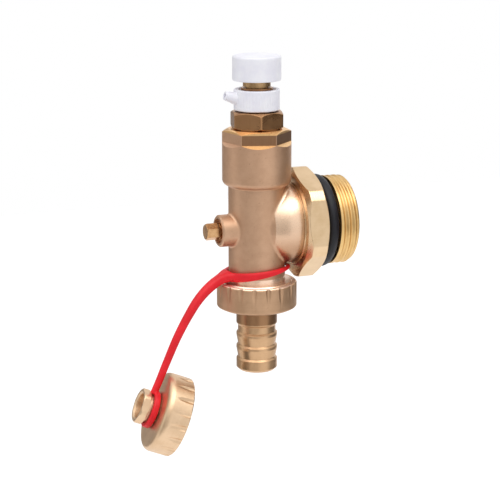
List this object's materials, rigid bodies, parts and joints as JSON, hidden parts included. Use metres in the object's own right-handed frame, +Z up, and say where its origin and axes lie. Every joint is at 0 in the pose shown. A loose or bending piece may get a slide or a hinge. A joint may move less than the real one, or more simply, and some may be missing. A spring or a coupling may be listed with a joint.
{
  "type": "manual air vent valve",
  "caption": "Brass end valve with a knob-operated air vent on top, swivelling threaded port, key-operated drain cock, hose tail and tethered cap.",
  "frame": {"origin": "on the port's axis, where the port's outside thread starts", "axes": "+X out of the port along its axis; +Z up the barrel towards the vent's knob; the drain spindle points along -X"},
  "size_m": [0.0851, 0.0408, 0.1452],
  "materials": {
    "cast_brass": "sand-blasted casting, matte",
    "nut_brass": "sand-blasted, matte",
    "cap_brass": "sand-blasted, satin",
    "turned_brass": "turned, bright",
    "dark_brass": "turned, glossy",
    "tail_brass": "turned, satin",
    "stem_brass": "turned",
    "plated_brass": "plated and polished",
    "spring_steel": "spring wire",
    "seat_plastic": "low-friction plastic",
    "black_rubber": "moulded",
    "white_plastic": "moulded, satin gloss",
    "red_strap": "soft moulded plastic"
  },
  "bodies": {
    "port": {"port_nipple": "turned_brass", "port_seal": "black_rubber", "swivel_seal": "black_rubber", "retaining_ring": "spring_steel"},
    "valve": {"valve_body": "cast_brass", "lower_seat": "seat_plastic", "upper_seat": "seat_plastic", "seat_retainer": "stem_brass", "vent_body": "dark_brass", "vent_body_seal": "black_rubber", "collar_seals": "black_rubber"},
    "drain_plug": {"ball": "plated_brass", "drain_spindle": "stem_brass", "spindle_seals": "black_rubber", "thrust_washer": "seat_plastic"},
    "vent_plug": {"vent_washer": "black_rubber"},
    "knob": {"vent_knob": "white_plastic", "vent_stem": "stem_brass"},
    "spout": {"vent_spout": "white_plastic"},
    "tail": {"hose_tail": "tail_brass", "tail_gasket": "black_rubber"},
    "nut": {"drain_nut": "nut_brass"},
    "tether": {"strap": "red_strap"},
    "cap": {"drain_cap": "cap_brass", "cap_gasket": "black_rubber"}
  },
  "joints": [
    {"name": "valve_swivel", "type": "hinge", "parent": "port", "child": "valve", "pos_m": [0, 0, 0], "axis": [1, 0, 0], "continuous": true},
    {"name": "drain_turn", "type": "hinge", "parent": "valve", "child": "drain_plug", "pos_m": [-0.027, 0, -0.0011], "axis": [1, 0, 0], "range_deg": [0, 180]},
    {"name": "vent_lift", "type": "slide", "parent": "valve", "child": "vent_plug", "axis": [0, 0, 1], "range_m": [0, 0.00187]},
    {"name": "vent_turn", "type": "hinge", "parent": "vent_plug", "child": "knob", "pos_m": [-0.027, 0, 0.05], "axis": [0, 0, 1], "range_deg": [0, 540]},
    {"name": "spout_turn", "type": "hinge", "parent": "valve", "child": "spout", "pos_m": [-0.027, 0, 0.047], "axis": [0, 0, 1], "continuous": true},
    {"name": "tail_drop", "type": "slide", "parent": "valve", "child": "tail", "axis": [0, 0, -1], "range_m": [0, 0.00363]},
    {"name": "nut_turn", "type": "hinge", "parent": "tail", "child": "nut", "pos_m": [-0.027, 0, -0.026], "axis": [0, 0, -1], "range_deg": [0, 720]},
    {"name": "tether_turn", "type": "hinge", "parent": "valve", "child": "tether", "pos_m": [-0.027, 0, -0.018], "axis": [0, 0, 1], "range_deg": [-100, 100]},
    {"name": "cap_turn", "type": "hinge", "parent": "tether", "child": "cap", "pos_m": [-0.06899, -0.00515, -0.0652], "axis": [-0.9203, 0.113, 0.3746], "continuous": true}
  ],
  "couplings": [
    {"joint": "vent_turn", "follows": "vent_lift", "rad_per_m": 5026.5},
    {"joint": "nut_turn", "follows": "tail_drop", "rad_per_m": 3463.7}
  ]
}
